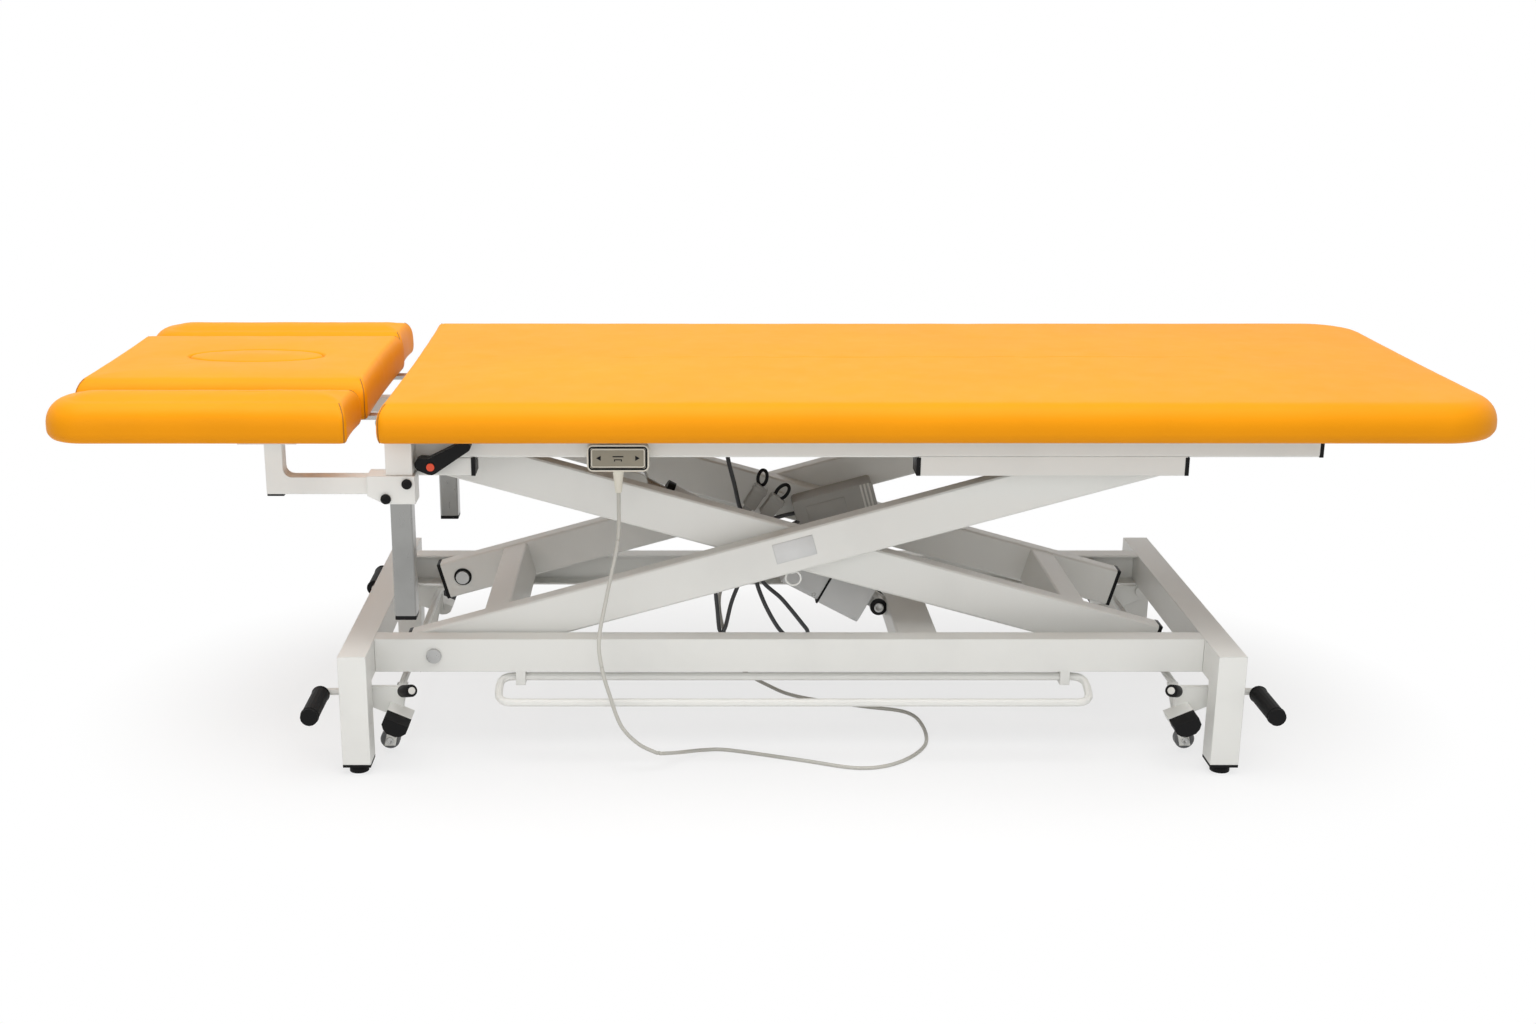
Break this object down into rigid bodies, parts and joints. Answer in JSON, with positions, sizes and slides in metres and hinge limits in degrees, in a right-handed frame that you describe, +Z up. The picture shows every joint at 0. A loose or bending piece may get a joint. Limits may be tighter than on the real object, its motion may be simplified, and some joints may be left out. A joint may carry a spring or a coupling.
{
  "type": "treatment table",
  "caption": "Electric height-adjustable treatment table with scissor lift, tilting head section, drop armrests, foot bar and castor levers.",
  "frame": {"origin": "on the floor under the middle of the table", "axes": "+X to the foot end, +Y to the rear long side, +Z up"},
  "size_m": [1.988, 0.6596, 0.5573],
  "materials": {
    "paint": "satin",
    "vinyl": "satin",
    "wood": "matte",
    "rubber": "matte",
    "wheel": "matte",
    "black": "matte",
    "chrome": "polished",
    "steel": "brushed",
    "alloy": "satin",
    "grey": "matte",
    "nylon": "matte",
    "ivory": "satin",
    "key": "matte",
    "red": "gloss",
    "cord": "satin"
  },
  "bodies": {
    "base": {"end_frame_head": "paint", "foot_head_front": "rubber", "foot_head_rear": "rubber", "end_frame_foot": "paint", "foot_foot_front": "rubber", "foot_foot_rear": "rubber", "base_rail_front": "paint", "lower_pivot_bolt_front": "steel", "base_rail_rear": "paint", "lower_pivot_bolt_rear": "steel", "base_cross_tube": "paint", "cord_floor": "cord"},
    "outer_frame": {"outer_arm_frame": "paint"},
    "inner_frame": {"inner_arm_frame": "paint", "control_box": "grey"},
    "top": {"armrest_post_front": "chrome", "armrest_post_rear": "chrome", "top_frame": "paint", "main_pad": "vinyl", "main_board": "wood", "hinge_top": "steel", "handset_case": "ivory", "cord_hanging": "cord"},
    "upper_rollers": {"upper_roller_front": "nylon", "upper_roller_rear": "nylon"},
    "lower_rollers": {"lower_roller_front": "nylon", "lower_roller_rear": "nylon"},
    "armrest_front": {"armrest_bracket_front": "paint", "armrest_pad_front": "vinyl"},
    "armrest_rear": {"armrest_bracket_rear": "paint", "armrest_pad_rear": "vinyl"},
    "actuator": {"motor_housing": "alloy", "gear_cover": "alloy", "actuator_tube": "alloy", "tube_collar": "black"},
    "actuator_rod": {"actuator_rod": "steel"},
    "head_section": {"head_pad": "vinyl", "head_board": "wood", "nose_plug": "vinyl", "hinge_head": "steel"},
    "clamp_lever": {"clamp_lever": "black"},
    "lever_button": {"lever_button": "red"},
    "handset_rocker": {"handset_rocker": "key"},
    "foot_switch": {"foot_bar": "paint"},
    "castor_lever_head": {"castor_lever_head": "paint", "lever_grip_head_front": "rubber", "pedal_shoe_head_front": "rubber", "lever_grip_head_rear": "rubber", "pedal_shoe_head_rear": "rubber"},
    "castor_lever_foot": {"castor_lever_foot": "paint", "lever_grip_foot_front": "rubber", "pedal_shoe_foot_front": "rubber", "lever_grip_foot_rear": "rubber", "pedal_shoe_foot_rear": "rubber"},
    "castor_wheels_head": {"castor_wheel_head_front": "wheel", "castor_wheel_head_rear": "wheel"},
    "castor_wheels_foot": {"castor_wheel_foot_front": "wheel", "castor_wheel_foot_rear": "wheel"}
  },
  "joints": [
    {"name": "lift", "type": "hinge", "parent": "base", "child": "outer_frame", "pos_m": [-0.485, 0, 0.155], "axis": [0, -1, 0], "range_deg": [-2.5, 26]},
    {"name": "arm_centre", "type": "hinge", "parent": "outer_frame", "child": "inner_frame", "pos_m": [0.03029, 0, 0.29887], "axis": [0, -1, 0], "range_deg": [-52, 5]},
    {"name": "top_level", "type": "hinge", "parent": "inner_frame", "child": "top", "pos_m": [-0.485, 0, 0.44274], "axis": [0, -1, 0], "range_deg": [-2.5, 26]},
    {"name": "upper_roller_spin", "type": "hinge", "parent": "outer_frame", "child": "upper_rollers", "pos_m": [0.54558, 0, 0.44274], "axis": [0, -1, 0], "continuous": true},
    {"name": "lower_roller_spin", "type": "hinge", "parent": "inner_frame", "child": "lower_rollers", "pos_m": [0.54558, 0, 0.155], "axis": [0, -1, 0], "continuous": true},
    {"name": "actuator_tilt", "type": "hinge", "parent": "base", "child": "actuator", "pos_m": [0.18, 0, 0.162], "axis": [0, -1, 0], "range_deg": [-20.74, 1.99]},
    {"name": "actuator_extend", "type": "slide", "parent": "actuator", "child": "actuator_rod", "axis": [-0.8816, 0, 0.4719], "range_m": [-0.02342, 0.24361]},
    {"name": "head_tilt", "type": "hinge", "parent": "top", "child": "head_section", "pos_m": [-0.553, 0, 0.49], "axis": [0, 1, 0], "range_deg": [-30, 25]},
    {"name": "armrest_height_front", "type": "slide", "parent": "top", "child": "armrest_front", "axis": [0, 0, 1], "range_m": [-0.14, 0]},
    {"name": "armrest_height_rear", "type": "slide", "parent": "top", "child": "armrest_rear", "axis": [0, 0, 1], "range_m": [-0.14, 0]},
    {"name": "clamp_turn", "type": "hinge", "parent": "top", "child": "clamp_lever", "pos_m": [-0.473, -0.25, 0.449], "axis": [0, -1, 0], "range_deg": [-60, 10]},
    {"name": "clamp_button", "type": "slide", "parent": "clamp_lever", "child": "lever_button", "axis": [0, 1, 0], "range_m": [0, 0.0015], "stiffness_N_per_m": 300},
    {"name": "handset_press", "type": "hinge", "parent": "top", "child": "handset_rocker", "pos_m": [-0.214, -0.2486, 0.46], "axis": [0, 0, 1], "range_deg": [-2.5, 2.5], "stiffness_Nm_per_rad": 0.2},
    {"name": "foot_press", "type": "hinge", "parent": "base", "child": "foot_switch", "pos_m": [0.036, -0.2059, 0.119], "axis": [1, 0, 0], "range_deg": [-6, 6], "stiffness_Nm_per_rad": 10},
    {"name": "castor_lower_head", "type": "hinge", "parent": "base", "child": "castor_lever_head", "pos_m": [-0.591, 0, 0.105], "axis": [0, 1, 0], "range_deg": [0, 20]},
    {"name": "castor_spin_head", "type": "hinge", "parent": "castor_lever_head", "child": "castor_wheels_head", "pos_m": [-0.555, 0, 0.0215], "axis": [0, 1, 0], "continuous": true},
    {"name": "castor_lower_foot", "type": "hinge", "parent": "base", "child": "castor_lever_foot", "pos_m": [0.651, 0, 0.105], "axis": [0, -1, 0], "range_deg": [0, 20]},
    {"name": "castor_spin_foot", "type": "hinge", "parent": "castor_lever_foot", "child": "castor_wheels_foot", "pos_m": [0.615, 0, 0.0215], "axis": [0, 1, 0], "continuous": true}
  ],
  "couplings": [
    {"joint": "arm_centre", "follows": "lift", "ratio": -2},
    {"joint": "top_level", "follows": "lift", "ratio": 1},
    {"joint": "actuator_tilt", "follows": "lift", "ratio": -0.79779},
    {"joint": "actuator_extend", "follows": "lift", "m_per_rad": 0.53683}
  ]
}
